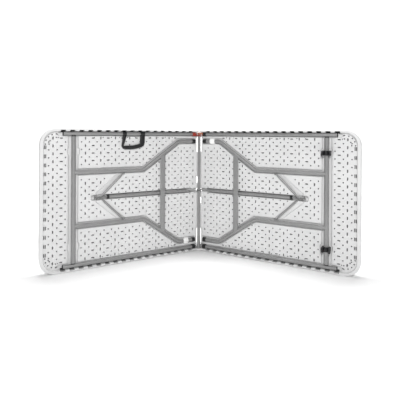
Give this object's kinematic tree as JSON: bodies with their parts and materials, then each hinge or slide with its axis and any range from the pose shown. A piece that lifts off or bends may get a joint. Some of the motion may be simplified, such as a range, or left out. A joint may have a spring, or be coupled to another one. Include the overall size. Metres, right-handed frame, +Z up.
{
  "type": "folding table",
  "caption": "Fold-in-half moulded table standing half open on its long edge, with tubular legs folded into the underside, struts, braces and a carrying handle.",
  "frame": {"origin": "bottom centre of the object's bounding box as it stands on its long edge", "axes": "+Z up, +X to the right across both halves, +Y to the back; the undersides and legs face -Y"},
  "size_m": [1.6312, 0.4562, 0.74],
  "materials": {
    "panel": "fine grain off-white moulded polyethylene",
    "grey_frame": "grey powder-coated steel tube",
    "black_plastic": "black moulded plastic",
    "red_plastic": "red moulded plastic",
    "white_plastic": "white moulded plastic",
    "rivet_steel": "grey painted rivet"
  },
  "bodies": {
    "left_half": {"left_panel": "panel", "left_upper_rail": "grey_frame", "left_lower_rail": "grey_frame", "left_rail_caps": "black_plastic", "centre_tube": "grey_frame", "centre_tube_caps": "red_plastic", "strut_washer": "black_plastic", "lock_knuckle": "red_plastic", "left_lower_knuckle": "grey_frame", "left_end_sleeve": "black_plastic"},
    "right_half": {"right_panel": "panel", "right_upper_rail": "grey_frame", "right_lower_rail": "grey_frame", "right_rail_caps": "black_plastic", "right_knuckles": "grey_frame", "right_end_sleeves": "black_plastic", "closing_clips": "black_plastic"},
    "lock_button": {"lock_button": "red_plastic"},
    "handle": {"handle": "black_plastic"},
    "left_leg": {"left_pivot_tube": "grey_frame", "left_pivot_bushes": "black_plastic", "left_leg_upper": "grey_frame", "left_leg_lower": "grey_frame", "left_cross_bar": "grey_frame", "left_foot_caps": "black_plastic", "left_leg_sleeve": "white_plastic", "left_brace_rivets": "rivet_steel"},
    "left_strut": {"left_strut": "grey_frame"},
    "left_lock_ring": {"left_lock_ring": "black_plastic"},
    "left_brace": {"left_brace_upper": "grey_frame", "left_brace_lower": "grey_frame", "left_elbow_heads": "rivet_steel"},
    "right_leg": {"right_pivot_tube": "grey_frame", "right_pivot_bushes": "black_plastic", "right_leg_upper": "grey_frame", "right_leg_lower": "grey_frame", "right_cross_bar": "grey_frame", "right_foot_caps": "black_plastic", "right_leg_sleeve": "white_plastic", "right_brace_rivets": "rivet_steel"},
    "right_strut": {"right_strut": "grey_frame"},
    "right_lock_ring": {"right_lock_ring": "black_plastic"},
    "right_brace": {"right_brace_upper": "grey_frame", "right_brace_lower": "grey_frame", "right_elbow_heads": "rivet_steel"}
  },
  "joints": [
    {"name": "fold_hinge", "type": "hinge", "parent": "left_half", "child": "right_half", "pos_m": [0, 0.18854, 0.37], "axis": [0, 0, 1], "range_deg": [-124.8, 55.2]},
    {"name": "lock_button_slide", "type": "slide", "parent": "left_half", "child": "lock_button", "axis": [-0.8862, -0.4633, 0], "range_m": [0, 0.008], "stiffness_N_per_m": 150, "springref_m": -0.004},
    {"name": "handle_swing", "type": "hinge", "parent": "left_half", "child": "handle", "pos_m": [-0.37892, 0.00681, 0.714], "axis": [-0.8862, -0.4633, 0], "range_deg": [0, 95]},
    {"name": "left_leg_pivot", "type": "hinge", "parent": "left_half", "child": "left_leg", "pos_m": [-0.65896, -0.13959, 0.37], "axis": [0, 0, -1], "range_deg": [0, 90]},
    {"name": "left_strut_pivot", "type": "hinge", "parent": "left_half", "child": "left_strut", "pos_m": [0, 0.18854, 0.37], "axis": [0, 0, 1], "range_deg": [0, 19.54]},
    {"name": "left_brace_pivot", "type": "hinge", "parent": "left_leg", "child": "left_brace", "pos_m": [-0.42235, -0.01589, 0.37], "axis": [0, 0, -1], "range_deg": [0, 68.1]},
    {"name": "left_lock_ring_slide", "type": "slide", "parent": "left_strut", "child": "left_lock_ring", "axis": [0.8862, 0.4633, 0], "range_m": [0, 0.04]},
    {"name": "right_leg_pivot", "type": "hinge", "parent": "right_half", "child": "right_leg", "pos_m": [0.65896, -0.13959, 0.37], "axis": [0, 0, 1], "range_deg": [0, 90]},
    {"name": "right_strut_pivot", "type": "hinge", "parent": "right_half", "child": "right_strut", "pos_m": [0, 0.18854, 0.37], "axis": [0, 0, -1], "range_deg": [0, 19.54]},
    {"name": "right_brace_pivot", "type": "hinge", "parent": "right_leg", "child": "right_brace", "pos_m": [0.42235, -0.01589, 0.37], "axis": [0, 0, 1], "range_deg": [0, 68.1]},
    {"name": "right_lock_ring_slide", "type": "slide", "parent": "right_strut", "child": "right_lock_ring", "axis": [-0.8862, 0.4633, 0], "range_m": [0, 0.04]}
  ],
  "couplings": [
    {"joint": "left_strut_pivot", "follows": "left_leg_pivot", "ratio": 0.217},
    {"joint": "left_brace_pivot", "follows": "left_leg_pivot", "ratio": 0.75652},
    {"joint": "right_strut_pivot", "follows": "right_leg_pivot", "ratio": 0.217},
    {"joint": "right_brace_pivot", "follows": "right_leg_pivot", "ratio": 0.75652}
  ]
}
